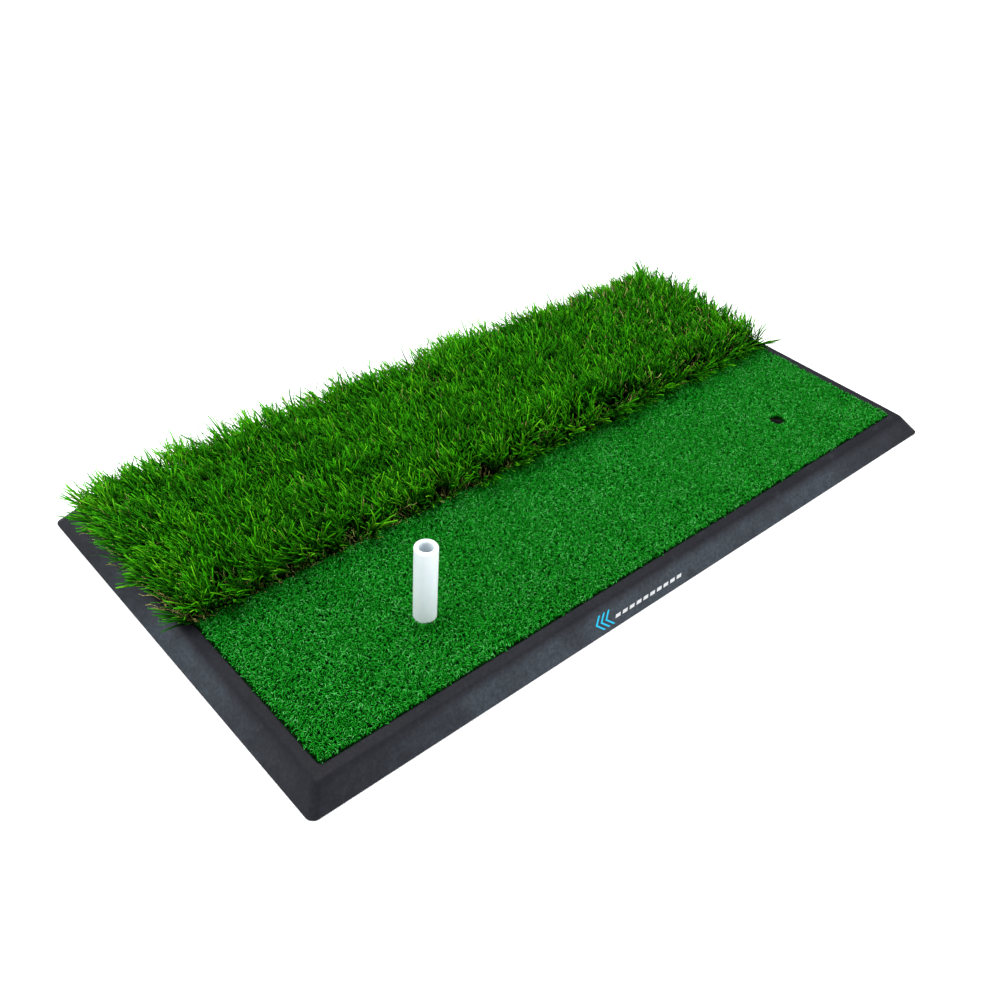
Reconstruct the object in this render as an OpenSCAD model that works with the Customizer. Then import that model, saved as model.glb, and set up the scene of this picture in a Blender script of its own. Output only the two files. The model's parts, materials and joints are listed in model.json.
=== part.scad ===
// Golf hitting mat: a moulded rubber tray that holds a strip of short fairway turf and a strip of
// long rough turf. A hollow rubber tee stands in one of its two tee holes.
// X runs along the mat, Y from the fairway strip to the rough strip, Z up.
// The origin is at the middle of the underside.

/* [Tray] */
// Length of the tray at its foot
tray_l = 610; // [520:5:700]
// Width of the tray at its foot
tray_w = 320; // [280:5:380]
// Height of the rim
tray_h = 15; // [14:0.5:18]
// Height of the upright edge at the foot
foot_h = 1; // [0.5:0.5:2]
// How far the sloping side runs in from the foot to the rim
slope_run = 12; // [9:1:16]
// Width of the rim, from the top of the slope to the recess
rim_w = 8; // [6:0.5:12]
// Corner radius of the outline at the foot
foot_corner_r = 5.5; // [4.5:0.5:12]
// Corner radius of the outline at the top of the slope
rim_corner_r = 4.5; // [4:0.5:7]
// Radius between the slope and the rim
shoulder_r = 5; // [3:0.5:6]
// Thickness of the tray under the turf
floor_t = 7; // [6:0.5:8]

/* [Underside] */
// Width of each grip groove
groove_w = 4; // [3:0.5:6]
// Depth of each grip groove
groove_d = 1.2; // [0.8:0.2:2]
// Distance from groove to groove
groove_pitch = 14; // [12:1:20]
// Width of the plain border around the grooves
groove_border = 26; // [20:1:40]

/* [Turf] */
// Thickness of each glue film
glue_t = 0.3; // [0.2:0.1:0.5]
// Thickness of the foam shock pad
pad_t = 2.3; // [1.5:0.1:3]
// Thickness of the latex coat under each strip
latex_t = 0.8; // [0.5:0.1:1]
// Thickness of the woven cloth in each strip
cloth_t = 0.5; // [0.3:0.1:0.8]
// Gap between the turf and the wall of the recess
edge_gap = 0.4; // [0.2:0.1:1]
// Y of the seam between the two strips
seam_y = -2; // [-20:1:20]
// Height of the fairway pile
fairway_h = 5.6; // [4:0.2:8]
// Height of the curly thatch in the rough strip
thatch_h = 10; // [6:1:14]
// Height of the rough blades above the thatch
blade_h = 23; // [15:1:30]
// How far the tips of the rough spread beyond its roots
blade_spread = 7; // [0:1:10]

/* [Tee] */
// X of the tee
tee_x = -169; // [-200:0.5:-120]
// X of the spare tee hole
spare_x = 200.5; // [150:0.5:220]
// Y of both tee holes
tee_y = -87; // [-100:1:-60]
// Outer diameter of the tee
tee_d = 15.5; // [14:0.5:17]
// Wall thickness of the tee
tee_wall = 3; // [2.5:0.25:3.5]
// Height of the tee's top above the rim
tee_h = 61.5; // [45:0.5:70]
// Height above the rim at which the tee bends
bend_h = 18; // [16:0.5:24]
// Diameter of the tee's foot
flange_d = 44; // [36:1:50]
// Thickness of the tee's foot
flange_t = 2.9; // [2.4:0.1:3]

/* [Printed mark] */
// X of the mark's left end
mark_x = -81; // [-120:1:-60]
// Height of the chevrons, measured up the slope
chevron_h = 10; // [6:1:11]
// Number of dashes
dash_count = 10; // [3:1:12]
// Length of each dash
dash_l = 4.6; // [3:0.2:6]
// Thickness of the ink
ink_t = 0.15; // [0.1:0.05:0.3]

/* [Hidden] */
// Clearance between the tee and its hole, and between its foot and the top of its pocket
fit_gap = 0.05;
// Gap between the tee's foot and the surface that the mat lies on
foot_gap = 0.4;
// Gap between the edge of the tee's foot and its pocket
pocket_gap = 1;
// Extra length that makes each cut run past its face
past = 1;
// Solid land around each foot pocket
land_w = 6;
// Thickness of the thin slices that the tray's outer skin is stretched over
slice_t = 0.01;
// Number of steps in the rounding of the shoulder
shoulder_steps = 5;
// Clearance between the turf and a tee hole
turf_hole_gap = 0.4;
// Distance up the slope where the chevrons start
mark_v = 2.5;
chevron_count = 3;
chevron_pitch = 4.5;
chevron_w = 1.6;
// Distance up the slope where the dashes start
dash_v = 5;
dash_w = 2;
dash_gap = 2.2;
dash_slant = 1.5;

tee_r = tee_d / 2;
hole_r = tee_r + fit_gap;
bore_r = tee_r - tee_wall;
tee_top = tray_h + tee_h;
bend_z = tray_h + bend_h;
flange_top = foot_gap + flange_t;
pocket_d = flange_top + fit_gap;
pocket_r = flange_d / 2 + pocket_gap;
// How far the tube can bend over, and how far below the bend the stem ends so that the tube clears it
bend_a = 55;
bend_gap = 0.1;
stem_end_drop = tee_r * sin(bend_a) + bend_gap;

slope_a = atan((tray_h - foot_h) / slope_run);
shoulder_run = shoulder_r * tan(slope_a / 2);
arc_inset = slope_run + shoulder_run;
arc_z = tray_h - shoulder_r;

recess_l = tray_l - 2 * (slope_run + rim_w);
recess_w = tray_w - 2 * (slope_run + rim_w);
turf_x = recess_l / 2 - edge_gap;
turf_y = recess_w / 2 - edge_gap;

pad_z = floor_t + glue_t;
turf_glue_z = pad_z + pad_t;
latex_z = turf_glue_z + glue_t;
cloth_z = latex_z + latex_t;
pile_z = cloth_z + cloth_t;
thatch_top = pile_z + thatch_h;

$fn = 96;

// Outline of the tray, a given distance inside its foot
function corner_r(inset) = foot_corner_r + (rim_corner_r - foot_corner_r) * inset / slope_run;

module tray_slice(inset, z, h) {
    r = corner_r(inset);
    for (sx = [-1, 1], sy = [-1, 1])
        translate([sx * (tray_l / 2 - inset - r), sy * (tray_w / 2 - inset - r), z])
            cylinder(r = r, h = h, $fn = 32);
}

// The solid block of the tray: upright foot, sloping sides, rounded shoulder and flat top
module tray_block() {
    hull() {
        tray_slice(0, 0, foot_h);
        for (i = [0 : shoulder_steps]) {
            a = slope_a * i / shoulder_steps;
            tray_slice(arc_inset - shoulder_r * sin(a), arc_z + shoulder_r * cos(a) - slice_t, slice_t);
        }
    }
}

module at_tee_holes() {
    for (x = [tee_x, spare_x]) translate([x, tee_y, 0]) children();
}

module grip_grooves() {
    rows = floor((tray_w / 2 - groove_border) / groove_pitch - 0.5);
    length = tray_l - 2 * groove_border;
    for (i = [-rows - 1 : rows])
        translate([-length / 2, (i + 0.5) * groove_pitch - groove_w / 2, -past])
            cube([length, groove_w, groove_d + past]);
}

module base_tray() {
    color("#2f3238")
    difference() {
        tray_block();
        translate([-recess_l / 2, -recess_w / 2, floor_t]) cube([recess_l, recess_w, tray_h]);
        difference() {
            grip_grooves();
            at_tee_holes() translate([0, 0, -2 * past]) cylinder(r = pocket_r + land_w, h = tray_h);
        }
        at_tee_holes() translate([0, 0, -past]) cylinder(r = pocket_r, h = pocket_d + past);
        at_tee_holes() cylinder(r = hole_r, h = tray_h);
    }
}

// A flat sheet from y0 to y1 over the whole length of the recess, with any tee holes in its area
module turf_sheet(y0, y1, z, t) {
    difference() {
        translate([-turf_x, y0, z]) cube([2 * turf_x, y1 - y0, t]);
        if (y0 < tee_y)
            at_tee_holes() translate([0, 0, z - past]) cylinder(r = hole_r + turf_hole_gap, h = t + 2 * past);
    }
}

module pad_glue() {
    color("#c9b27a") turf_sheet(-turf_y, turf_y, floor_t, glue_t);
}

module shock_pad() {
    color("#1d1f22") turf_sheet(-turf_y, turf_y, pad_z, pad_t);
}

module turf_glue() {
    color("#c9b27a") turf_sheet(-turf_y, turf_y, turf_glue_z, glue_t);
}

module fairway_latex() {
    color("#1d1f21") turf_sheet(-turf_y, seam_y, latex_z, latex_t);
}

module fairway_cloth() {
    color("#3a3d38") turf_sheet(-turf_y, seam_y, cloth_z, cloth_t);
}

module fairway_pile() {
    color("#17702f") turf_sheet(-turf_y, seam_y, pile_z, fairway_h);
}

module rough_latex() {
    color("#1d1f21") turf_sheet(seam_y + edge_gap, turf_y, latex_z, latex_t);
}

module rough_cloth() {
    color("#3a3d38") turf_sheet(seam_y + edge_gap, turf_y, cloth_z, cloth_t);
}

module rough_thatch() {
    color("#8f8450") turf_sheet(seam_y + edge_gap, turf_y, pile_z, thatch_h);
}

// The mass of blades above the thatch, which spreads out over the rim at its ends and back
module rough_pile() {
    root_y = seam_y + edge_gap;
    color("#3f8f16")
    hull() {
        translate([-turf_x, root_y, thatch_top]) cube([2 * turf_x, turf_y - root_y, slice_t]);
        translate([-turf_x - blade_spread, root_y, thatch_top + blade_h - slice_t])
            cube([2 * (turf_x + blade_spread), turf_y - root_y + blade_spread, slice_t]);
    }
}

// The tee's foot, trapped under the tray, and its stem up through the hole to the bend
module tee_foot() {
    color("#eef0ee")
    translate([tee_x, tee_y, 0])
    difference() {
        union() {
            translate([0, 0, foot_gap]) cylinder(d = flange_d, h = flange_t);
            translate([0, 0, foot_gap]) cylinder(r = tee_r, h = bend_z - stem_end_drop - foot_gap);
        }
        cylinder(r = bore_r, h = tee_top);
    }
}

// The standing tube, with a round lower end at the bend and a rounded lip that holds the ball
module tee_tube() {
    lip_r = tee_wall / 2;
    color("#eef0ee")
    translate([tee_x, tee_y, 0])
    difference() {
        union() {
            translate([0, 0, bend_z]) sphere(r = tee_r);
            translate([0, 0, bend_z]) cylinder(r = tee_r, h = tee_top - lip_r - bend_z);
            translate([0, 0, tee_top - lip_r]) rotate_extrude() translate([tee_r - lip_r, 0]) circle(r = lip_r);
        }
        translate([0, 0, bend_z - tee_r - past]) cylinder(r = bore_r, h = tee_top);
    }
}

// Places its children on the front slope: local X runs along the mat and local Y up the slope
module on_front_slope() {
    translate([mark_x, -tray_w / 2, foot_h]) rotate([slope_a, 0, 0]) children();
}

module chevron() {
    half = chevron_h / 2;
    polygon([[half, 0], [half + chevron_w, 0], [chevron_w, half], [half + chevron_w, chevron_h],
             [half, chevron_h], [0, half]]);
}

module print_chevrons() {
    color("#49b6e6")
    on_front_slope()
        for (i = [0 : chevron_count - 1])
            translate([i * chevron_pitch, mark_v, 0]) linear_extrude(ink_t) chevron();
}

module print_dashes() {
    start_x = chevron_count * chevron_pitch + chevron_w + dash_gap;
    color("#f4f4f4")
    on_front_slope()
        for (i = [0 : dash_count - 1])
            translate([start_x + i * (dash_l + dash_gap), dash_v, 0])
                linear_extrude(ink_t)
                    polygon([[0, 0], [dash_l, 0], [dash_l + dash_slant, dash_w], [dash_slant, dash_w]]);
}

base_tray();
pad_glue();
shock_pad();
turf_glue();
fairway_latex();
fairway_cloth();
fairway_pile();
rough_latex();
rough_cloth();
rough_thatch();
rough_pile();
tee_foot();
tee_tube();
print_chevrons();
print_dashes();
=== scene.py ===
"""Looks of the golf hitting mat: rubber tray, curled fairway turf, long rough turf, rubber tee and print.

Lengths are in metres. X runs along the mat, Y from the fairway strip to the rough strip, Z up.
"""
import json
import math

import bpy
import numpy as np
from mathutils import Matrix, Vector

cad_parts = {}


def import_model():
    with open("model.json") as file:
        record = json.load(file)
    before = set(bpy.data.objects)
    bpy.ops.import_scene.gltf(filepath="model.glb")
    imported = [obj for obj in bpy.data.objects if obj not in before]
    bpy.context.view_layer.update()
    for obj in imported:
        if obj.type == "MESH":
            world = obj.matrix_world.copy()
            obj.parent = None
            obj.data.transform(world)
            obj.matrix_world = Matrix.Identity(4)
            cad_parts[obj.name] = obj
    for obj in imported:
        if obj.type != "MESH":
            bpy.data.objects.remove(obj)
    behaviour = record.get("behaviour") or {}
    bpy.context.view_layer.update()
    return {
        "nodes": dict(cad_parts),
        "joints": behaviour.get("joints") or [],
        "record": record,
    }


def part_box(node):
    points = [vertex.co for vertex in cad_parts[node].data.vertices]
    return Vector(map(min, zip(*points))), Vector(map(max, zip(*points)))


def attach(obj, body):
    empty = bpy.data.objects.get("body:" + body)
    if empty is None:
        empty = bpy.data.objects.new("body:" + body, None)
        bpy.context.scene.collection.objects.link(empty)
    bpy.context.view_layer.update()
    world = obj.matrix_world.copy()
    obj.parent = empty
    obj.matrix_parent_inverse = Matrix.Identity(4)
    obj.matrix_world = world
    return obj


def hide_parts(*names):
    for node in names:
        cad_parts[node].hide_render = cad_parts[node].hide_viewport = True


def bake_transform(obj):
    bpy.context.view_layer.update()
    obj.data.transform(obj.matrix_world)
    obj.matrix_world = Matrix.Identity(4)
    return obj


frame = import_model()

MM = 0.001

# ---------------------------------------------------------------- sizes taken from the frame
TRAY_LOW, TRAY_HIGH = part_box("base_tray")
FAIRWAY_LOW, FAIRWAY_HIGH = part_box("fairway_pile")
ROUGH_LOW, ROUGH_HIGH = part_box("rough_pile")
THATCH_LOW, THATCH_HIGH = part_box("rough_thatch")
FOOT_LOW, FOOT_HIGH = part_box("tee_foot")
TUBE_LOW, TUBE_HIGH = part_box("tee_tube")
PAD_LOW, PAD_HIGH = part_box("pad_glue")
BEND = Vector(next(j for j in frame["joints"] if j["name"] == "tee_bend")["pos_m"])
SPARE = next(m for m in frame["record"]["mounts"] if m["name"] == "spare_tee_hole")
SPARE_AT = Vector(SPARE["pos_m"])
HOLE_R = SPARE["dims"]["r_mm"] * MM
LAYER_HOLE_R = HOLE_R + 0.4 * MM
TEE_R = (TUBE_HIGH.x - TUBE_LOW.x) / 2
PILE_Z = FAIRWAY_LOW.z

# ---------------------------------------------------------------- small helpers


def smooth(t):
    """0 below 0, 1 above 1, and a smooth step between."""
    t = np.clip(t, 0, 1)
    return t * t * (3 - 2 * t)


def field(x, y, seed, pitch):
    """A smooth random field of x and y from about -1 to 1, with bumps about pitch apart."""
    draw = np.random.default_rng(seed)
    total = np.zeros_like(x)
    waves = 9
    for _ in range(waves):
        angle = draw.uniform(0, math.tau)
        step = math.tau / (pitch * draw.uniform(1.4, 3.0))
        total += np.sin((x * math.cos(angle) + y * math.sin(angle)) * step + draw.uniform(0, math.tau))
    return total / math.sqrt(waves / 2) / 1.5


def new_object(name, mesh, material, body, slot, *replaced):
    """A piece of the object: named, in the scene, riding on its body and standing for its CAD nodes."""
    mesh.name = name
    piece = bpy.data.objects.new(name, mesh)
    bpy.context.scene.collection.objects.link(piece)
    mesh.materials.append(material)
    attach(piece, body)
    if replaced:
        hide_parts(*replaced)
    return piece


def set_faces(mesh, faces):
    """Gives a mesh with vertices its faces, a list of arrays that each hold faces of one size."""
    sizes = np.concatenate([np.full(len(f), f.shape[1], np.int32) for f in faces])
    corners = np.concatenate([f.ravel() for f in faces]).astype(np.int32)
    starts = np.concatenate([[0], np.cumsum(sizes)[:-1]]).astype(np.int32)
    mesh.loops.add(len(corners))
    mesh.loops.foreach_set("vertex_index", corners)
    mesh.polygons.add(len(sizes))
    mesh.polygons.foreach_set("loop_start", starts)
    mesh.polygons.foreach_set("use_smooth", np.ones(len(sizes), bool))
    mesh.update(calc_edges=True)
    return corners


# ---------------------------------------------------------------- material helpers


def new_material(name, **values):
    """A node material and its Principled shader, with plain values for some of the shader's inputs."""
    material = bpy.data.materials.new(name)
    material.use_nodes = True
    shader = material.node_tree.nodes["Principled BSDF"]
    for key, value in values.items():
        shader.inputs[key.replace("_", " ")].default_value = value
    return material, material.node_tree, shader


def add(tree, kind, inputs, **settings):
    """A new shader node. inputs maps a socket's name or number to a value or to another node's output."""
    made = tree.nodes.new("ShaderNode" + kind)
    for key, value in settings.items():
        setattr(made, key, value)
    for key, value in inputs.items():
        if isinstance(value, bpy.types.NodeSocket):
            tree.links.new(value, made.inputs[key])
        else:
            made.inputs[key].default_value = value
    return made


def maths(tree, operation, *values):
    """The result of a Math node."""
    return add(tree, "Math", dict(enumerate(values)), operation=operation).outputs[0]


def remap(tree, value, low, high, to_low, to_high):
    """value, moved from the range low..high to the range to_low..to_high."""
    inputs = {0: value, 1: low, 2: high, 3: to_low, 4: to_high}
    return add(tree, "MapRange", inputs).outputs[0]


def ramp(tree, share, stops):
    """A colour between stops, each (place, (r, g, b))."""
    made = add(tree, "ValToRGB", {0: share})
    elements = made.color_ramp.elements
    while len(elements) < len(stops):
        elements.new(0.5)
    for element, (place, colour) in zip(elements, stops):
        element.position = place
        element.color = (*colour, 1)
    return made.outputs[0]


def scaled(tree, colour, by):
    """colour times a number."""
    return add(tree, "VectorMath", {0: colour, 3: by}, operation="SCALE").outputs[0]


def noise(tree, vector, scale, detail=3.0, roughness=0.55):
    """A noise value from 0 to 1 at each point."""
    inputs = {"Vector": vector, "Scale": scale, "Detail": detail, "Roughness": roughness}
    return add(tree, "TexNoise", inputs).outputs[0]


def place(tree):
    """The point in the row frame, in metres."""
    return add(tree, "TexCoord", {}).outputs["Object"]


def bump(tree, shader, height, distance, strength=1.0):
    """Gives the shader relief of that height."""
    made = add(tree, "Bump", {"Height": height, "Distance": distance, "Strength": strength})
    tree.links.new(made.outputs[0], shader.inputs["Normal"])


# ---------------------------------------------------------------- strands: blades and yarns

# Every strand takes its colour from one column of a shared card: across the strand is across the
# column, and from root to tip is up the column.
CARD = "OFBake"
SHADES = 32
CARD_ACROSS = np.array([0.92, 0.5, 0.08])
CARD_FOOT = 0.01
MOST_STRAND_FACES = 190_000


def strand_material(name, palette, tip, root, lift, reach, streaks, relief, **values):
    """Material for strands. palette is the colours of the card's columns and tip the tint that their ends go
    to, as painted light through them. root and lift are the brightness at the root and the tip: painted shade
    down in the turf and painted light at the ends. reach is where along the strand it rises."""
    material, tree, shader = new_material(name, **values)
    card = add(tree, "UVMap", {}, uv_map=CARD).outputs[0]
    parts = add(tree, "SeparateXYZ", {0: card})
    column = maths(tree, "MULTIPLY", parts.outputs[0], SHADES)
    across = maths(tree, "FRACT", column)
    shade = maths(tree, "FLOOR", column)
    colour = ramp(tree, maths(tree, "DIVIDE", shade, SHADES - 1), palette)
    along = parts.outputs[1]
    # Painted shade: dark at the root deep in the turf, rising to painted light at the tip
    light = remap(tree, along, *reach, root, lift)
    # Painted light through the ends: their colour goes towards the tip tint
    ends = maths(tree, "MULTIPLY", maths(tree, "POWER", along, 3), 0.45)
    colour = add(tree, "Mix", {0: ends, 6: colour, 7: (*tip, 1)}, data_type="RGBA").outputs[2]
    fine = {0: maths(tree, "MULTIPLY", column, 7), 1: maths(tree, "MULTIPLY", along, streaks)}
    grain = noise(tree, add(tree, "CombineXYZ", fine).outputs[0], 1.0, 2.0)
    light = maths(tree, "MULTIPLY", light, remap(tree, grain, 0.25, 0.75, 0.82, 1.18))
    # Painted highlight along the middle ridge of each strand and painted shade towards its edges
    rib = maths(tree, "ABSOLUTE", maths(tree, "SUBTRACT", across, 0.5))
    light = maths(tree, "MULTIPLY", light, remap(tree, rib, 0, 0.45, 1.08, 0.9))
    tree.links.new(scaled(tree, colour, light), shader.inputs["Base Color"])
    base = shader.inputs["Roughness"].default_value
    tree.links.new(remap(tree, grain, 0.2, 0.8, base - 0.07, base + 0.1), shader.inputs["Roughness"])
    bump(tree, shader, grain, relief)
    return material


def frame_along(path, azimuth, twist):
    """Unit vectors along each strand, across its width and out of its ridge side."""
    along = np.gradient(path, axis=1)
    along /= np.linalg.norm(along, axis=2, keepdims=True)
    level = np.stack([-np.sin(azimuth), np.cos(azimuth), np.zeros_like(azimuth)], -1)[:, None, :]
    level = level - (level * along).sum(2, keepdims=True) * along
    level /= np.linalg.norm(level, axis=2, keepdims=True) + 1e-12
    up = np.cross(along, level)
    side = np.cos(twist)[..., None] * level + np.sin(twist)[..., None] * up
    return along, side, np.cross(along, side)


def strand_mesh(path, side, ridge, width, thickness, shade, start):
    """Solid strands of three sides each. path is (strands, sections, 3), and start is how far up its card's
    column each strand's root is, so a higher start gives less painted shade at the root."""
    count, sections = path.shape[:2]
    half = (width / 2)[..., None] * side
    points = np.stack([path + half, path + thickness[..., None] * ridge, path - half], 2)
    mesh = bpy.data.meshes.new("strands")
    mesh.vertices.add(count * sections * 3)
    mesh.vertices.foreach_set("co", points.astype(np.float32).ravel())
    first = (np.arange(count) * sections * 3)[:, None]
    walls = []
    for a, b in ((0, 1), (1, 2), (2, 0)):
        here = first + np.arange(sections - 1) * 3
        walls.append(np.stack([here + a, here + b, here + b + 3, here + a + 3], -1).reshape(-1, 4))
    last = first + (sections - 1) * 3
    caps = np.concatenate([first + np.array([0, 2, 1]), last + np.array([0, 1, 2])])
    corners = set_faces(mesh, [*walls, caps])
    across = (shade[:, None, None] + CARD_ACROSS) / SHADES
    across = np.broadcast_to(across, (count, sections, 3))
    up = start[:, None] + (0.99 - start[:, None]) * np.linspace(0, 1, sections)
    up = np.broadcast_to(up[..., None], (count, sections, 3))
    card = np.stack([across, up], -1).reshape(-1, 2)[corners]
    mesh.uv_layers.new(name=CARD).data.foreach_set("uv", card.astype(np.float32).ravel())
    return mesh


def strand_pieces(name, made, material, slot, replaced):
    """Makes one piece of the strands, or several side by side along X where one would be too heavy."""
    count, sections = made[0].shape[:2]
    faces = count * ((sections - 1) * 6 + 2)
    pieces = math.ceil(faces / MOST_STRAND_FACES)
    order = np.argsort(made[0][:, 0, 0], kind="stable")
    for i, some in enumerate(np.array_split(order, pieces)):
        mesh = strand_mesh(*(values[some] for values in made))
        label = f"{name}_{i + 1}" if pieces > 1 else name
        new_object(label, mesh, material, "mat", slot, replaced)


def grow(root, length, push):
    """Paths from the roots. push is how far sideways each section goes for each step up."""
    steps = push.shape[1] - 1
    push = (push[:, 1:] + push[:, :-1]) / 2
    way = np.concatenate([push, np.ones_like(push[..., :1])], axis=2)
    way /= np.linalg.norm(way, axis=2, keepdims=True)
    moves = np.cumsum(way * (length / steps)[:, None, None], axis=1)
    return root[:, None, :] + np.concatenate([np.zeros_like(moves[:, :1]), moves], axis=1)


# ---------------------------------------------------------------- rough turf

ROUGH_X = THATCH_HIGH.x
ROUGH_FRONT, ROUGH_BACK = THATCH_LOW.y, THATCH_HIGH.y
TUFT_ROWS = 19
TUFT_STITCHES = 101
BLADES_A_TUFT = 20
BLADE_LENGTH = 32.5 * MM
BLADE_W, BLADE_T = 0.98 * MM, 0.30 * MM
SKIRT_BLADES = 8
SKIRT_SHARE = 0.32


def tufts(draw):
    """Places of the tufts: rows along the mat with uneven stitches."""
    rows = np.linspace(ROUGH_FRONT + 2.2 * MM, ROUGH_BACK - 4 * MM, TUFT_ROWS)
    stitches = np.linspace(-ROUGH_X + 2 * MM, ROUGH_X - 1.6 * MM, TUFT_STITCHES)
    x, y = np.meshgrid(stitches, rows)
    x = x + draw.normal(0, 0.9 * MM, x.shape)
    y = y + draw.normal(0, 0.7 * MM, y.shape)
    return x.ravel(), y.ravel()


def edge_shares(x, y):
    """How near each place is to the rough's left end, right end, back and front, from 0 to 1."""
    left = smooth((-ROUGH_X + 42 * MM - x) / (42 * MM))
    right = smooth((x - ROUGH_X + 60 * MM) / (60 * MM))
    back = smooth((y - ROUGH_BACK + 22 * MM) / (22 * MM))
    front = smooth((ROUGH_FRONT + 12 * MM - y) / (12 * MM))
    return left, right, back, front


def blade_lean(draw, x, y, tuft, shares):
    """How far sideways each blade goes for each step up, and which blades are the skirt's."""
    left, right, back, front = shares
    count, tuft_count = len(x), tuft[-1] + 1
    over = 0.12 + 0.93 * smooth((x + 0.15) / 0.25)
    splay = left * (0.1 + 0.9 * smooth((y - ROUGH_FRONT) / (100 * MM)) - 0.7 * back)
    along = -0.50 - 0.37 * splay + 0.36 * right
    across = 0.27 - 0.17 * left + 0.12 * back - over * front
    lean = np.stack([along, across], -1)
    lean += 0.10 * np.stack([field(x, y, 5, 60 * MM), field(x, y, 6, 60 * MM)], -1)
    lean += draw.normal(0, 0.30, (tuft_count, 2))[tuft] + draw.normal(0, 0.26, (count, 2))
    skirt = (front > 0.3) & (draw.random(count) < SKIRT_SHARE)
    fall = draw.uniform(0.3, 1.1, count) * (0.4 + 0.6 * smooth((x + 0.22) / 0.2))
    lean[:, 1] -= np.where(skirt, fall, 0)
    return lean, skirt


def blade_length(draw, x, y, tuft, shares, skirt):
    """How long each blade is, with one draw for its tuft and one for itself."""
    left, right, back, front = shares
    count, tuft_count = len(x), tuft[-1] + 1
    tuft_length = draw.normal(0, 2.4 * MM, tuft_count)
    length = draw.normal(BLADE_LENGTH, 3.4 * MM, count) + tuft_length[tuft]
    length += 1.8 * MM * field(x, y, 7, 45 * MM) + 1 * MM * left - 2 * MM * front
    length -= 6 * MM * smooth((x - 0.08) / 0.12)
    length -= back * (draw.normal(5 * MM, 2.5 * MM, count) + 3 * MM * left)
    return np.where(skirt, draw.uniform(10 * MM, 20 * MM, count), np.clip(length, 20 * MM, 42 * MM))


def rough_blades():
    draw = np.random.default_rng(21)
    tuft_x, tuft_y = tufts(draw)
    # The first row has extra short blades, which fall forward over the seam like a skirt
    each = BLADES_A_TUFT + np.where(tuft_y < ROUGH_FRONT + 6 * MM, SKIRT_BLADES, 0)
    tuft = np.repeat(np.arange(len(tuft_x)), each)
    count = len(tuft)
    x = np.clip(tuft_x[tuft] + draw.normal(0, 0.8 * MM, count), -ROUGH_X, ROUGH_X)
    y = np.clip(tuft_y[tuft] + draw.normal(0, 0.8 * MM, count), ROUGH_FRONT, ROUGH_BACK)
    shares = edge_shares(x, y)
    lean, skirt = blade_lean(draw, x, y, tuft, shares)
    curl = 0.25 * lean + draw.normal(0, 0.48, (count, 2))
    length = blade_length(draw, x, y, tuft, shares, skirt)
    s = np.linspace(0, 1, 6)[None, :, None]
    push = lean[:, None] * (0.5 + 0.6 * s) + curl[:, None] * s**2
    root = np.stack([x, y, np.full(count, PILE_Z)], -1)
    path = grow(root, length, push)
    azimuth = np.arctan2(lean[:, 1], lean[:, 0]) + draw.normal(0, 0.5, count)
    turn = draw.normal(0, 0.8, count)[:, None] + draw.normal(0, 0.9, count)[:, None] * s[..., 0]
    along, side, ridge = frame_along(path, azimuth, turn)
    full = draw.normal(BLADE_W, 0.17 * MM, count)
    taper = np.array([0.8, 1.0, 1.0, 1.0, 0.95, 0.65])
    width = full[:, None] * taper
    thickness = np.broadcast_to(BLADE_T * np.array([1, 1, 1, 0.9, 0.7, 0.35]), width.shape)
    # Blades at the edges stand in full light, so painted light makes them lighter, and their painted root
    # shade starts further up
    left, right, back, front = shares
    edge_light = np.max([0.5 * left, 0.5 * right, back, front], axis=0)
    tone = 0.47 + 0.12 * field(x, y, 8, 30 * MM) + 0.16 * edge_light + 0.3 * back
    tone += draw.normal(0, 0.12, len(tuft_x))[tuft] + draw.normal(0, 0.29, count)
    shade = np.floor(np.clip(tone, 0, 0.999) * SHADES)
    start = CARD_FOOT + 0.33 * edge_light
    return path, side, ridge, width, thickness, shade, start


def rough_thatch():
    draw = np.random.default_rng(22)
    tuft_x, tuft_y = tufts(draw)
    left, right, back, front = edge_shares(tuft_x, tuft_y)
    each = np.where(left > 0.25, 8, np.where(front > 0.25, 9, np.where(back > 0.25, 5, 3)))
    tuft = np.repeat(np.arange(len(tuft_x)), each)
    count = len(tuft)
    x = np.clip(tuft_x[tuft] + draw.normal(0, 2.2 * MM, count), -ROUGH_X, ROUGH_X)
    y = np.clip(tuft_y[tuft] + draw.normal(0, 2.2 * MM, count), ROUGH_FRONT - 0.5 * MM, ROUGH_BACK)
    left, right, back, front = edge_shares(x, y)
    lean = np.stack([-0.3 - 0.8 * left + 0.2 * right, 0.1 + 0.2 * back - 0.3 * front], -1)
    lean += draw.normal(0, 0.5, (count, 2))
    s = np.linspace(0, 1, 11)
    crimp = draw.uniform(0, math.tau, count)[:, None] + s * draw.uniform(13, 21, count)[:, None]
    swing = np.stack([np.sin(crimp), np.cos(crimp * 0.9)], -1) * draw.uniform(0.5, 1.3, count)[:, None, None]
    push = lean[:, None] * (0.5 + 0.6 * s[None, :, None]) + swing
    long = draw.random(count) < 0.25
    length = np.where(long, draw.uniform(24 * MM, 36 * MM, count), draw.uniform(13 * MM, 24 * MM, count))
    length *= 1 - 0.45 * front
    root = np.stack([x, y, np.full(count, PILE_Z)], -1)
    path = grow(root, length, push)
    along, side, ridge = frame_along(path, draw.uniform(0, math.tau, count), crimp * 0.5)
    full = draw.uniform(0.45 * MM, 0.75 * MM, count)
    width = full[:, None] * np.array([0.8] + [1.0] * 9 + [0.6])
    thickness = width * 0.45
    shade = draw.integers(0, SHADES, count).astype(float)
    # Yarns at the edges stand in full light, so their painted root shade starts further up
    start = CARD_FOOT + 0.35 * np.max([left, right, back, front], axis=0)
    return path, side, ridge, width, thickness, shade, start


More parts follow.
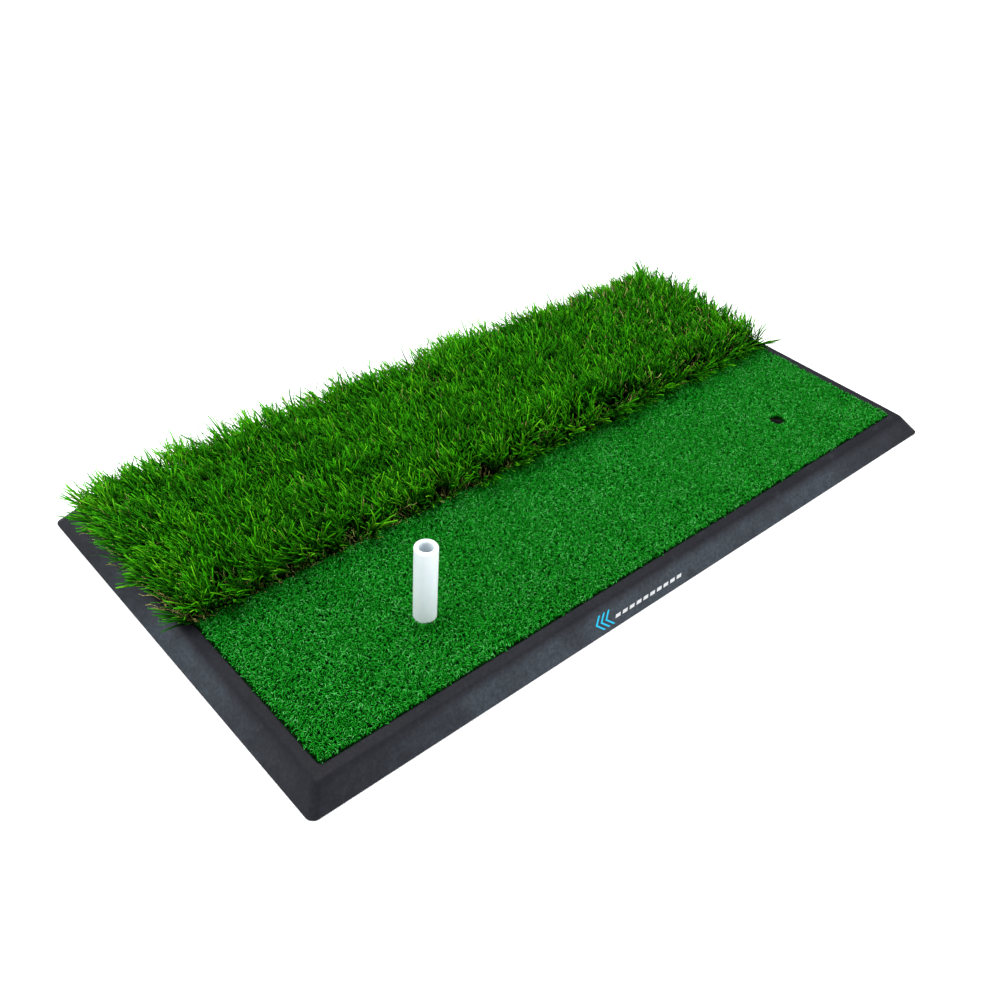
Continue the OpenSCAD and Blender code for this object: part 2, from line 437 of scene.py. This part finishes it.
ROUGH_GREEN = strand_material(
    "rough_blade",
    [(0.0, (0.0003, 0.010, 0.0001)), (0.3, (0.0015, 0.050, 0.0001)), (0.65, (0.013, 0.172, 0.0002)),
     (0.92, (0.042, 0.302, 0.0010)), (1.0, (0.10, 0.38, 0.007))],
    tip=(0.017, 0.13, 0.0004), root=0.01, lift=1.50, reach=(0.50, 0.95), streaks=5, relief=0.05 * MM,
    Roughness=0.5, Specular_IOR_Level=0.04)
THATCH_TAN = strand_material(
    "thatch_yarn",
    [(0.0, (0.02, 0.06, 0.003)), (0.3, (0.09, 0.10, 0.012)), (0.6, (0.26, 0.24, 0.055)),
     (1.0, (0.52, 0.48, 0.18))],
    tip=(0.45, 0.42, 0.14), root=0.3, lift=1.25, reach=(0.1, 0.9), streaks=9, relief=0.04 * MM,
    Roughness=0.65, Specular_IOR_Level=0.15)

strand_pieces("rough_blades", rough_blades(), ROUGH_GREEN, "rough_turf", "rough_pile")
strand_pieces("rough_thatch_yarn", rough_thatch(), THATCH_TAN, "thatch", "rough_thatch")

# ---------------------------------------------------------------- fairway turf

YARN_PITCH = 0.99 * MM
HOLES = [Vector((BEND.x, BEND.y)), SPARE_AT.xy]
TURF_HOLE_R = TEE_R + 0.5 * MM
HOLE_EDGE_YARNS = 240
FRINGE = 1.3 * MM


def fairway_roots(draw):
    """Places of the yarns: all over the strip, with an extra ring round the edge of each hole."""
    x, y = np.meshgrid(np.arange(FAIRWAY_LOW.x + FRINGE, FAIRWAY_HIGH.x - FRINGE, YARN_PITCH),
                       np.arange(FAIRWAY_LOW.y + FRINGE, FAIRWAY_HIGH.y, YARN_PITCH))
    at = np.stack([x.ravel(), y.ravel()], -1)
    at += draw.normal(0, 0.34 * MM, at.shape)
    middles = np.array([h[:] for h in HOLES])
    for middle in middles:
        at = at[np.hypot(*(at - middle).T) > TURF_HOLE_R + 0.15 * MM]
        turn = draw.uniform(0, math.tau, HOLE_EDGE_YARNS)
        r = TURF_HOLE_R + np.abs(draw.normal(0, 0.4 * MM, HOLE_EDGE_YARNS))
        at = np.concatenate([at, middle + r[:, None] * np.stack([np.cos(turn), np.sin(turn)], -1)])
    return at, middles


def fairway_yarn():
    draw = np.random.default_rng(23)
    at, middles = fairway_roots(draw)
    x, y = at.T
    count = len(at)
    # Which way the yarns go: inwards at the strip's border, into the spare hole and against the tee
    band = 3.5 * MM
    border = smooth(1 - np.stack([x - FAIRWAY_LOW.x, FAIRWAY_HIGH.x - x, y - FAIRWAY_LOW.y]) / band)
    way = np.stack([border[0] - border[1], border[2]], -1)
    for middle, pull in zip(middles, (0.8, 0.1)):
        reach = at - middle
        far = np.hypot(*reach.T)[:, None]
        way -= pull * reach / far * smooth((TURF_HOLE_R + 2.5 * MM - far) / (2.5 * MM))
    edge = np.hypot(*way.T)
    azimuth = np.where(edge > 0.2, np.arctan2(way[:, 1], way[:, 0]) + draw.normal(0, 0.9, count),
                       draw.uniform(0, math.tau, count))
    height = draw.uniform(3.3 * MM, 4.6 * MM, count) + 0.08 * MM * field(x, y, 9, 14 * MM)
    height += 2.6 * MM * smooth(2 - np.hypot(*(at - middles[0]).T) / TURF_HOLE_R)
    curl_r = draw.uniform(0.8 * MM, 1.3 * MM, count) * (1 - 0.4 * border.max(axis=0))
    turns = draw.uniform(2.2, 3.9, count)
    # Some yarns of the border lie outwards over the rim
    outward = (border.max(axis=0) > 0.3) & (draw.random(count) < 0.3)
    azimuth = azimuth + math.pi * outward
    height = np.where(outward, np.maximum(height, 4.4 * MM), height)
    turns = np.where(outward, np.minimum(turns, 2.4), turns)
    lean = draw.normal(0, 0.2, (count, 2)) * (1 - 0.6 * border.max(axis=0))[:, None]
    root = np.stack([x, y, np.full(count, PILE_Z)], -1)
    up = np.concatenate([lean, np.ones((count, 1))], axis=1)
    up /= np.linalg.norm(up, axis=1, keepdims=True)
    out = np.stack([np.cos(azimuth), np.sin(azimuth), np.zeros(count)], -1)
    out -= (out * up).sum(1, keepdims=True) * up
    out /= np.linalg.norm(out, axis=1, keepdims=True)
    drift = np.cross(up, out)
    knee = root + up * height[:, None]
    angle = turns[:, None] * np.linspace(0, 1, 4)
    r = curl_r[:, None, None]
    slide = draw.normal(0, 0.45, count)[:, None]
    arc = (r * ((1 - np.cos(angle))[..., None] * out[:, None] + np.sin(angle)[..., None] * up[:, None])
           + r * (slide * angle)[..., None] * drift[:, None])
    path = np.concatenate([root[:, None], knee[:, None] + arc], axis=1)
    twist = draw.normal(0, 0.5, count)[:, None] + draw.normal(0, 0.5, count)[:, None] * np.linspace(0, 1, 5)
    along, side, ridge = frame_along(path, azimuth, twist)
    full = draw.uniform(0.40 * MM, 0.58 * MM, count)
    width = full[:, None] * np.array([0.7, 1, 1, 1, 0.65])
    thickness = width * 0.4
    tone = 0.48 + 0.03 * field(x, y, 10, 25 * MM) + draw.normal(0, 0.27, count)
    shade = np.floor(np.clip(tone, 0, 0.999) * SHADES)
    return path, side, ridge, width, thickness, shade, np.full(count, CARD_FOOT)


FAIRWAY_GREEN = strand_material(
    "fairway_yarn",
    [(0.0, (0.0004, 0.055, 0.001)), (0.4, (0.0016, 0.160, 0.004)), (0.75, (0.015, 0.280, 0.021)),
     (1.0, (0.090, 0.41, 0.105))],
    tip=(0.012, 0.32, 0.017), root=0.30, lift=1.22, reach=(0.0, 0.75), streaks=6, relief=0.03 * MM,
    Roughness=0.5, Specular_IOR_Level=0.035)

strand_pieces("fairway_yarn", fairway_yarn(), FAIRWAY_GREEN, "fairway_turf", "fairway_pile")

# ---------------------------------------------------------------- tray

FOOT_R, RIM_R = 5.5 * MM, 4.5 * MM
SLOPE_RUN = 12 * MM
FOOT_H = 1 * MM
SHOULDER_R = 5 * MM
RECESS_INSET = 20 * MM
CORNER_STEPS = 12
GRIP_W, GRIP_D, GRIP_PITCH, GRIP_BORDER = 4 * MM, 1.2 * MM, 14 * MM, 26 * MM
POCKET_GAP, LAND_W = 1 * MM, 6 * MM
PAST = 1 * MM


def tray_ring(inset, z):
    """A loop of points round the tray, a given distance inside its foot."""
    half_x, half_y = TRAY_HIGH.x - inset, TRAY_HIGH.y - inset
    r = max(FOOT_R + (RIM_R - FOOT_R) * inset / SLOPE_RUN, 0.9 * MM)
    points = []
    for corner, (sx, sy) in enumerate(((1, 1), (-1, 1), (-1, -1), (1, -1))):
        for step in range(CORNER_STEPS + 1):
            a = math.pi / 2 * (corner + step / CORNER_STEPS)
            points.append((sx * (half_x - r) + r * math.cos(a), sy * (half_y - r) + r * math.sin(a), z))
        across = corner % 2 == 0
        run = half_x - r if across else half_y - r
        pieces = 56 if across else 30
        last = points[-1]
        for step in range(1, pieces):
            go = 2 * run * step / pieces * (-sx if across else -sy)
            points.append((last[0] + (go if across else 0), last[1] + (0 if across else go), z))
    return points


def tray_profile():
    """The tray's section as (inset, height), from the underside over the rim to the recess floor."""
    high = TRAY_HIGH.z
    slope = math.atan2(high - FOOT_H, SLOPE_RUN)
    run = SHOULDER_R * math.tan(slope / 2)
    top_inset = SLOPE_RUN + run
    section = [(0.7 * MM, 0), (0.2 * MM, 0.2 * MM), (0, 0.7 * MM), (0, FOOT_H)]
    arc = [(top_inset - SHOULDER_R * math.sin(a), high - SHOULDER_R + SHOULDER_R * math.cos(a))
           for a in np.linspace(slope, 0, 9)]
    low, first = section[-1], arc[0]
    rise = (first[0] - low[0], first[1] - low[1])
    section += [(low[0] + rise[0] * t, low[1] + rise[1] * t) for t in (0.04, 0.25, 0.5, 0.75)]
    section += arc
    lip = 0.9 * MM
    section += [(top_inset + (RECESS_INSET - lip - top_inset) * t, high) for t in (0.4, 0.8)]
    section += [(RECESS_INSET - lip + lip * math.sin(a), high - lip + lip * math.cos(a))
                for a in np.linspace(0, math.pi / 2, 5)]
    section += [(RECESS_INSET, PAD_LOW.z)]
    return section


def tray_block():
    """The tray before its underside and holes are cut, with the slight unevenness of a rubber moulding."""
    rings = np.array([tray_ring(inset, z) for inset, z in tray_profile()])
    rows, cols = rings.shape[:2]
    x, y, z = rings[..., 0], rings[..., 1], rings[..., 2]
    wave = 0.10 * MM * (1 + np.tanh(field(x + z, y, 31, 40 * MM)))
    wave += 0.03 * MM * (1 + np.tanh(field(x, y, 32, 12 * MM)))
    inward = np.zeros_like(rings)
    inward[..., 0] = -np.sign(x) * (np.abs(x) > TRAY_HIGH.x - RECESS_INSET - 1 * MM)
    inward[..., 1] = -np.sign(y) * (np.abs(y) > TRAY_HIGH.y - RECESS_INSET - 1 * MM)
    lower = smooth(z / (4 * MM)) * (np.arange(rows) < rows - 1)[:, None]
    rings = rings + inward * (wave * lower)[..., None]
    rings[..., 2] -= wave * 0.8 * lower * smooth((z - 9 * MM) / (5 * MM))
    mesh = bpy.data.meshes.new("tray")
    mesh.vertices.add(rows * cols)
    mesh.vertices.foreach_set("co", rings.astype(np.float32).ravel())
    here = np.arange(cols)
    there = np.roll(here, -1)
    walls = [np.stack([k * cols + here, k * cols + there, (k + 1) * cols + there, (k + 1) * cols + here], -1)
             for k in range(rows - 1)]
    underside = here[::-1][None, :]
    floor = (here + (rows - 1) * cols)[None, :]
    set_faces(mesh, [*walls, underside, floor])
    return mesh


def scratch(name, mesh):
    made = bpy.data.objects.new(name, mesh)
    bpy.context.scene.collection.objects.link(made)
    return made


def box_parts(low, high):
    """Corners and faces of a box."""
    corners = [(x, y, z) for z in (low[2], high[2]) for x, y in
               ((low[0], low[1]), (high[0], low[1]), (high[0], high[1]), (low[0], high[1]))]
    sides = [(i, (i + 1) % 4, (i + 1) % 4 + 4, i + 4) for i in range(4)]
    return corners, [(3, 2, 1, 0), (4, 5, 6, 7), *sides]


def round_parts(at, r, low, high, sides=72):
    """Corners and faces of an upright cylinder."""
    turn = [math.tau * i / sides for i in range(sides)]
    corners = [(at.x + r * math.cos(a), at.y + r * math.sin(a), z) for z in (low, high) for a in turn]
    walls = [(i, (i + 1) % sides, (i + 1) % sides + sides, i + sides) for i in range(sides)]
    return corners, [tuple(range(sides - 1, -1, -1)), tuple(range(sides, 2 * sides)), *walls]


def solids(name, parts):
    """One scratch object of several solids, each given as corners and faces."""
    corners, faces = [], []
    for some, around in parts:
        faces += [tuple(i + len(corners) for i in face) for face in around]
        corners += some
    mesh = bpy.data.meshes.new(name)
    mesh.from_pydata(corners, [], faces)
    return scratch(name, mesh)


def cut(target, cutter, operation="DIFFERENCE"):
    """Cuts target with cutter for good, and removes the cutter."""
    tool = target.modifiers.new("cut", "BOOLEAN")
    tool.object = cutter
    tool.operation = operation
    tool.solver = "EXACT"
    graph = bpy.context.evaluated_depsgraph_get()
    mesh = bpy.data.meshes.new_from_object(target.evaluated_get(graph))
    target.modifiers.clear()
    target.data = mesh
    bpy.data.objects.remove(cutter)


def tray_mesh():
    tray = scratch("tray_scratch", tray_block())
    holes = [Vector((BEND.x, BEND.y, 0)), Vector((SPARE_AT.x, SPARE_AT.y, 0))]
    pocket_r = (FOOT_HIGH.x - FOOT_LOW.x) / 2 + POCKET_GAP
    pocket_top = SPARE_AT.z - (SPARE["dims"]["length_mm"] * MM - (PAD_LOW.z - SPARE_AT.z))
    rows = math.floor((TRAY_HIGH.y - GRIP_BORDER) / GRIP_PITCH - 0.5)
    end = TRAY_HIGH.x - GRIP_BORDER
    middles = [(i + 0.5) * GRIP_PITCH for i in range(-rows - 1, rows + 1)]
    grooves = solids("grooves", [box_parts((-end, y - GRIP_W / 2, -PAST), (end, y + GRIP_W / 2, GRIP_D))
                                 for y in middles])
    lands = solids("lands", [round_parts(h, pocket_r + LAND_W, -2 * PAST, 2 * PAST + GRIP_D) for h in holes])
    cut(grooves, lands)
    cut(tray, grooves)
    cut(tray, solids("pockets", [round_parts(h, pocket_r, -PAST, pocket_top) for h in holes]))
    cut(tray, solids("bores", [round_parts(h, HOLE_R, -2 * PAST, TRAY_HIGH.z) for h in holes]))
    mesh = tray.data.copy()
    bpy.data.objects.remove(tray)
    mesh.shade_smooth()
    mesh.set_sharp_from_angle(angle=math.radians(32))
    return mesh


def rubber_material():
    """Matte moulded rubber: charcoal in soft patches, a painted bluish sheen on its slopes as of lamps
    shining in them, mottled and fading towards the corners, scuffs and a fine cast grain."""
    material, tree, shader = new_material("moulded_rubber", Specular_IOR_Level=0.12)
    point = place(tree)
    patches = noise(tree, point, 30, 5, 0.6)
    specks = noise(tree, point, 420, 4, 0.65)
    scuffs = noise(tree, point, 80, 6, 0.7)
    colour = ramp(tree, patches, [(0.3, (0.0048, 0.0048, 0.0076)), (0.7, (0.0078, 0.0080, 0.0115))])
    # Painted sheen: lighter and bluish down the slopes below the rim, where lamps would shine in the rubber
    painted_sheen = remap(tree, add(tree, "SeparateXYZ", {0: point}).outputs[2], 9.5 * MM, 14.8 * MM, 1, 0)
    painted_sheen = maths(tree, "MULTIPLY", painted_sheen, remap(tree, patches, 0.35, 0.65, 0.55, 1.25))
    painted_sheen = maths(tree, "MULTIPLY", painted_sheen, remap(tree, noise(tree, point, 95, 4), 0.35, 0.65, 0.8, 1.2))
    folded = add(tree, "VectorMath", {0: point}, operation="ABSOLUTE").outputs[0]
    corner = {0: folded, 1: (TRAY_HIGH.x, TRAY_HIGH.y, 0)}
    from_corner = add(tree, "VectorMath", corner, operation="DISTANCE").outputs[1]
    # The painted sheen fades towards the tray's corners
    painted_sheen = maths(tree, "MULTIPLY", painted_sheen, remap(tree, from_corner, 0.02, 0.16, 0.12, 1.12))
    sheen_blend = {0: painted_sheen, 6: colour, 7: (0.0230, 0.0290, 0.0376, 1)}
    colour = add(tree, "Mix", sheen_blend, data_type="RGBA").outputs[2]
    dust = remap(tree, scuffs, 0.58, 0.8, 0, 0.4)
    colour = add(tree, "Mix", {0: dust, 6: colour, 7: (0.040, 0.046, 0.056, 1)}, data_type="RGBA").outputs[2]
    colour = scaled(tree, colour, remap(tree, specks, 0.35, 0.65, 0.75, 1.3))
    tree.links.new(colour, shader.inputs["Base Color"])
    tree.links.new(remap(tree, scuffs, 0.3, 0.8, 0.5, 0.68), shader.inputs["Roughness"])
    relief = maths(tree, "ADD", maths(tree, "MULTIPLY", specks, 0.8), noise(tree, point, 1500, 2))
    bump(tree, shader, relief, 0.14 * MM)
    return material


new_object("tray_moulding", tray_mesh(), rubber_material(), "mat", "tray_rubber", "base_tray")

# ---------------------------------------------------------------- tee

TEE_SIDES = 96
RING_STEP = 1.2 * MM
TEE_WALL = 3 * MM
TEE_FOOT_T = 2.85 * MM
BEND_REACH = Vector((0, 0, 16 * MM))


def rounded(corner_r, corner_z, r, start, end, steps=8):
    """Points of an arc about a centre at (corner_r, corner_z)."""
    return [(corner_r + r * math.cos(a), corner_z + r * math.sin(a))
            for a in np.radians(np.linspace(start, end, steps))]


def tee_profile():
    """The tee's section as (radius, height): up the outside, over the lip and down the bore."""
    foot_r = (FOOT_HIGH.x - FOOT_LOW.x) / 2
    low, top = FOOT_LOW.z, TUBE_HIGH.z
    foot_top = low + TEE_FOOT_T
    bore = TEE_R - TEE_WALL
    lip = TEE_WALL / 2
    edge = 1.1 * MM
    section = [(bore, low), (bore + 2 * MM, low)]
    section += rounded(foot_r - edge, low + edge, edge, -90, 0)
    section += rounded(foot_r - edge, foot_top - edge, edge, 0, 90)
    section += [(TEE_R + 3 * MM, foot_top), (TEE_R, foot_top)]
    rise = np.arange(foot_top + RING_STEP, top - lip, RING_STEP)
    section += [(TEE_R, z) for z in rise]
    section += rounded(bore + lip, top - lip, lip, 0, 180, 13)
    section += [(bore, z) for z in rise[::-1]]
    section += [(bore, foot_top - 1 * MM)]
    return section


def tee_mesh():
    section = np.array(tee_profile())
    turn = np.arange(TEE_SIDES) * math.tau / TEE_SIDES
    r, z = section[:, :1], section[:, 1:]
    # A faint parting line on two sides, and the slight unevenness of a soft moulding
    seam = 0.06 * MM * np.exp(-((np.sin(turn) / 0.05) ** 2)) * (r > TEE_R - 0.1 * MM)
    wave = 0.03 * MM * np.sin(3 * turn + z * 90) * np.sin(z * 260)
    swell = np.where(z > PILE_Z, wave - 0.02 * MM, 0) + np.where(z > PILE_Z + 6 * MM, seam, 0)
    around = r + swell
    points = np.stack([BEND.x + around * np.cos(turn), BEND.y + around * np.sin(turn),
                       np.broadcast_to(z, around.shape)], -1)
    rows = len(section)
    mesh = bpy.data.meshes.new("tee")
    mesh.vertices.add(rows * TEE_SIDES)
    mesh.vertices.foreach_set("co", points.astype(np.float32).ravel())
    here = np.arange(TEE_SIDES)
    there = np.roll(here, -1)
    walls = []
    for k in range(rows):
        a, b = k * TEE_SIDES, (k + 1) % rows * TEE_SIDES
        walls.append(np.stack([a + here, a + there, b + there, b + here], -1))
    set_faces(mesh, walls)
    mesh.set_sharp_from_angle(angle=math.radians(50))
    return mesh


def tee_material():
    """White rubber: faintly cloudy, with a waxy sheen and light grey scuffs."""
    material, tree, shader = new_material("white_rubber", Subsurface_Weight=0.12, Subsurface_Scale=0.002,
                                          Specular_IOR_Level=0.4, Sheen_Weight=0.15, Sheen_Roughness=0.4)
    point = place(tree)
    cloud = noise(tree, point, 120, 4)
    scuff = noise(tree, add(tree, "Mapping", {0: point, 3: (1, 1, 0.25)}).outputs[0], 700, 5, 0.7)
    colour = ramp(tree, cloud, [(0.3, (0.66, 0.73, 0.77)), (0.7, (0.71, 0.77, 0.80))])
    mark = remap(tree, scuff, 0.62, 0.8, 0, 0.35)
    colour = add(tree, "Mix", {0: mark, 6: colour, 7: (0.55, 0.60, 0.55, 1)}, data_type="RGBA").outputs[2]
    tree.links.new(colour, shader.inputs["Base Color"])
    tree.links.new(remap(tree, scuff, 0.3, 0.7, 0.38, 0.55), shader.inputs["Roughness"])
    bump(tree, shader, maths(tree, "ADD", cloud, scuff), 0.05 * MM)
    return material


tee = bpy.data.objects.new("rubber_tee", tee_mesh())
bpy.context.scene.collection.objects.link(tee)
tee.data.materials.append(tee_material())
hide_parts("tee_foot", "tee_tube")
bend_low, bend_high = BEND - BEND_REACH, BEND + BEND_REACH
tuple(bend_low[:])
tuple(bend_high[:])
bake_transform(tee)

# ---------------------------------------------------------------- layers under the turf

LAYER_STEP = 7 * MM
TAPE_PAIR = 2.4 * MM


def layer_mesh(node, edge, uneven, seed):
    """A sheet or slab in a CAD node's place, with softened edges, a slightly uneven top and its tee holes."""
    low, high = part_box(node)
    across = math.ceil((high.x - low.x) / LAYER_STEP)
    deep = math.ceil((high.y - low.y) / LAYER_STEP)
    x, y = np.meshgrid(np.linspace(low.x, high.x, across + 1), np.linspace(low.y, high.y, deep + 1))
    rim = np.minimum.reduce([x - low.x, high.x - x, y - low.y, high.y - y]) < edge / 2
    dip = uneven * (1 + np.tanh(field(x, y, seed, 22 * MM))) / 2
    top = high.z - np.where(rim, edge, dip)
    points = np.concatenate([np.stack([x, y, np.full_like(x, low.z)], -1).reshape(-1, 3),
                             np.stack([x, y, top], -1).reshape(-1, 3)])
    wide = across + 1
    cell = (np.arange(deep)[:, None] * wide + np.arange(across)).ravel()
    upper = cell + x.size
    loop = np.concatenate([np.arange(across), np.arange(deep) * wide + across,
                           deep * wide + np.arange(across, 0, -1), np.arange(deep, 0, -1) * wide])
    after = np.roll(loop, -1)
    mesh = bpy.data.meshes.new(node)
    mesh.vertices.add(len(points))
    mesh.vertices.foreach_set("co", points.astype(np.float32).ravel())
    set_faces(mesh, [np.stack([upper, upper + 1, upper + wide + 1, upper + wide], -1),
                     np.stack([cell, cell + wide, cell + wide + 1, cell + 1], -1),
                     np.stack([loop, after, after + x.size, loop + x.size], -1)])
    mesh.set_sharp_from_angle(angle=math.radians(40))
    if low.y > BEND.y:
        return mesh
    layer = scratch("layer_scratch", mesh)
    bottom, top = low.z - PAST, high.z + PAST
    cut(layer, solids("layer_holes", [round_parts(h, LAYER_HOLE_R, bottom, top) for h in HOLES]))
    mesh = layer.data.copy()
    bpy.data.objects.remove(layer)
    return mesh


# ---------------------------------------------------------------- CAD nodes that stay, with better materials


def finish_node(name, material):
    """Gives a CAD node its material."""
    node = frame["nodes"][name]
    node.data.materials.clear()
    node.data.materials.append(material)


def cloth_material(name, dark, light):
    """Woven polypropylene backing: flat tapes over and under."""
    material, tree, shader = new_material(name, Roughness=0.7, Specular_IOR_Level=0.1)
    parts = add(tree, "SeparateXYZ", {0: place(tree)})
    tape = math.tau / TAPE_PAIR
    weave = [maths(tree, "SINE", maths(tree, "MULTIPLY", parts.outputs[i], tape)) for i in (0, 1)]
    over = maths(tree, "MULTIPLY", *weave)
    colour = ramp(tree, remap(tree, over, -1, 1, 0, 1), [(0.2, dark), (0.8, light)])
    tree.links.new(colour, shader.inputs["Base Color"])
    bump(tree, shader, over, 0.15 * MM)
    return material


def plain_material(name, dark, light, scale, rough, relief):
    """A dull layer of two close tones."""
    material, tree, shader = new_material(name, Roughness=rough)
    grain = noise(tree, place(tree), scale, 4)
    tree.links.new(ramp(tree, grain, [(0.3, dark), (0.7, light)]), shader.inputs["Base Color"])
    bump(tree, shader, grain, relief)
    return material


def ink_material(name, colour):
    """Screen-printed ink: even colour with pinholes and slightly worn patches."""
    material, tree, shader = new_material(name, Roughness=0.5, Specular_IOR_Level=0.1)
    worn = noise(tree, place(tree), 900, 4)
    tint = scaled(tree, colour, remap(tree, worn, 0.3, 0.75, 1.0, 0.82))
    tree.links.new(tint, shader.inputs["Base Color"])
    bump(tree, shader, worn, 0.02 * MM)
    return material


WOVEN = {"fairway": cloth_material("fairway_backing", (0.0008, 0.020, 0.001), (0.0020, 0.050, 0.003)),
         "rough": cloth_material("rough_backing", (0.004, 0.010, 0.002), (0.012, 0.028, 0.006))}
LATEX = plain_material("latex_coat", (0.010, 0.010, 0.011), (0.022, 0.022, 0.023), 300, 0.6, 0.2 * MM)
FOAM = plain_material("pad_foam", (0.008, 0.008, 0.009), (0.020, 0.020, 0.022), 1500, 0.9, 0.3 * MM)
GLUE = plain_material("dried_glue", (0.008, 0.007, 0.006), (0.020, 0.017, 0.013), 80, 0.35, 0.1 * MM)
for strip, seed in (("fairway", 41), ("rough", 42)):
    node = strip + "_cloth"
    sheet = layer_mesh(node, 0.1 * MM, 0.12 * MM, seed)
    backing = new_object(strip + "_backing", sheet, WOVEN[strip], "mat", "cloth", node)
    finish_node(strip + "_latex", LATEX)
slab = layer_mesh("shock_pad", 0.5 * MM, 0.2 * MM, 43)
pad = new_object("foam_pad", slab, FOAM, "mat", "foam", "shock_pad")
finish_node("pad_glue", GLUE)
finish_node("turf_glue", GLUE)
finish_node("print_chevrons", ink_material("blue_ink", (0.007, 0.36, 0.56)))
finish_node("print_dashes", ink_material("white_ink", (0.46, 0.47, 0.48)))

# ---------------------------------------------------------------- floor, light and camera

VIEW_AZIMUTH, VIEW_ELEVATION, VIEW_ROLL = math.radians(-44.249), math.radians(38.792), math.radians(4.312)
VIEW_DISTANCE = 0.8125
VIEW_AIM = Vector((-0.0378, -0.01275, 0))
SENSOR_W, LENS = 36.0, 38.973
FLOOR_HALF = 4.0


def floor():
    half = FLOOR_HALF
    mesh = bpy.data.meshes.new("floor")
    corners = [(-half, -half, 0), (half, -half, 0), (half, half, 0), (-half, half, 0)]
    mesh.from_pydata(corners, [], [(0, 1, 2, 3)])
    made = bpy.data.objects.new("floor", mesh)
    bpy.context.scene.collection.objects.link(made)
    material, tree, shader = new_material("studio_paper", Base_Color=(0.95, 0.95, 0.95, 1), Roughness=0.9)
    made.data.materials.append(material)


def soft_light(name, at, aim, size, watts, colour=(1, 1, 1)):
    data = bpy.data.lights.new(name, "AREA")
    data.shape = "DISK"
    data.size = size
    data.energy = watts
    data.color = colour
    lamp = bpy.data.objects.new(name, data)
    bpy.context.scene.collection.objects.link(lamp)
    lamp.location = at
    lamp.rotation_euler = (Vector(aim) - Vector(at)).to_track_quat("-Z", "Y").to_euler()


def world():
    made = bpy.data.worlds.new("studio")
    bpy.context.scene.world = made
    made.use_nodes = True
    made.node_tree.nodes["Background"].inputs["Color"].default_value = (0.96, 0.98, 1.0, 1)
    made.node_tree.nodes["Background"].inputs["Strength"].default_value = 0.5


def camera():
    data = bpy.data.cameras.new("camera")
    data.sensor_width = SENSOR_W
    data.lens = LENS
    data.clip_start = 0.02
    made = bpy.data.objects.new("camera", data)
    bpy.context.scene.collection.objects.link(made)
    back = Vector((math.sin(VIEW_AZIMUTH) * math.cos(VIEW_ELEVATION),
                   -math.cos(VIEW_AZIMUTH) * math.cos(VIEW_ELEVATION), math.sin(VIEW_ELEVATION)))
    turn = (-back).to_track_quat("-Z", "Y").to_matrix().to_4x4() @ Matrix.Rotation(VIEW_ROLL, 4, "Z")
    made.matrix_world = Matrix.Translation(VIEW_AIM + back * VIEW_DISTANCE) @ turn
    bpy.context.scene.camera = made


floor()
world()
soft_light("overhead", (-0.1, 0.2, 2.2), (0, 0, 0), 1.3, 62)
soft_light("left", (-1.6, 0.5, 0.9), (-0.1, 0, 0), 1.0, 18)
soft_light("right_front", (0.42, -0.95, 0.42), (0.1, -0.1, 0), 0.45, 6.6)
soft_light("back", (1.0, 1.7, 1.5), (0.4, 0.5, 0), 1.0, 18)
camera()
bpy.context.scene.view_settings.view_transform = "Standard"
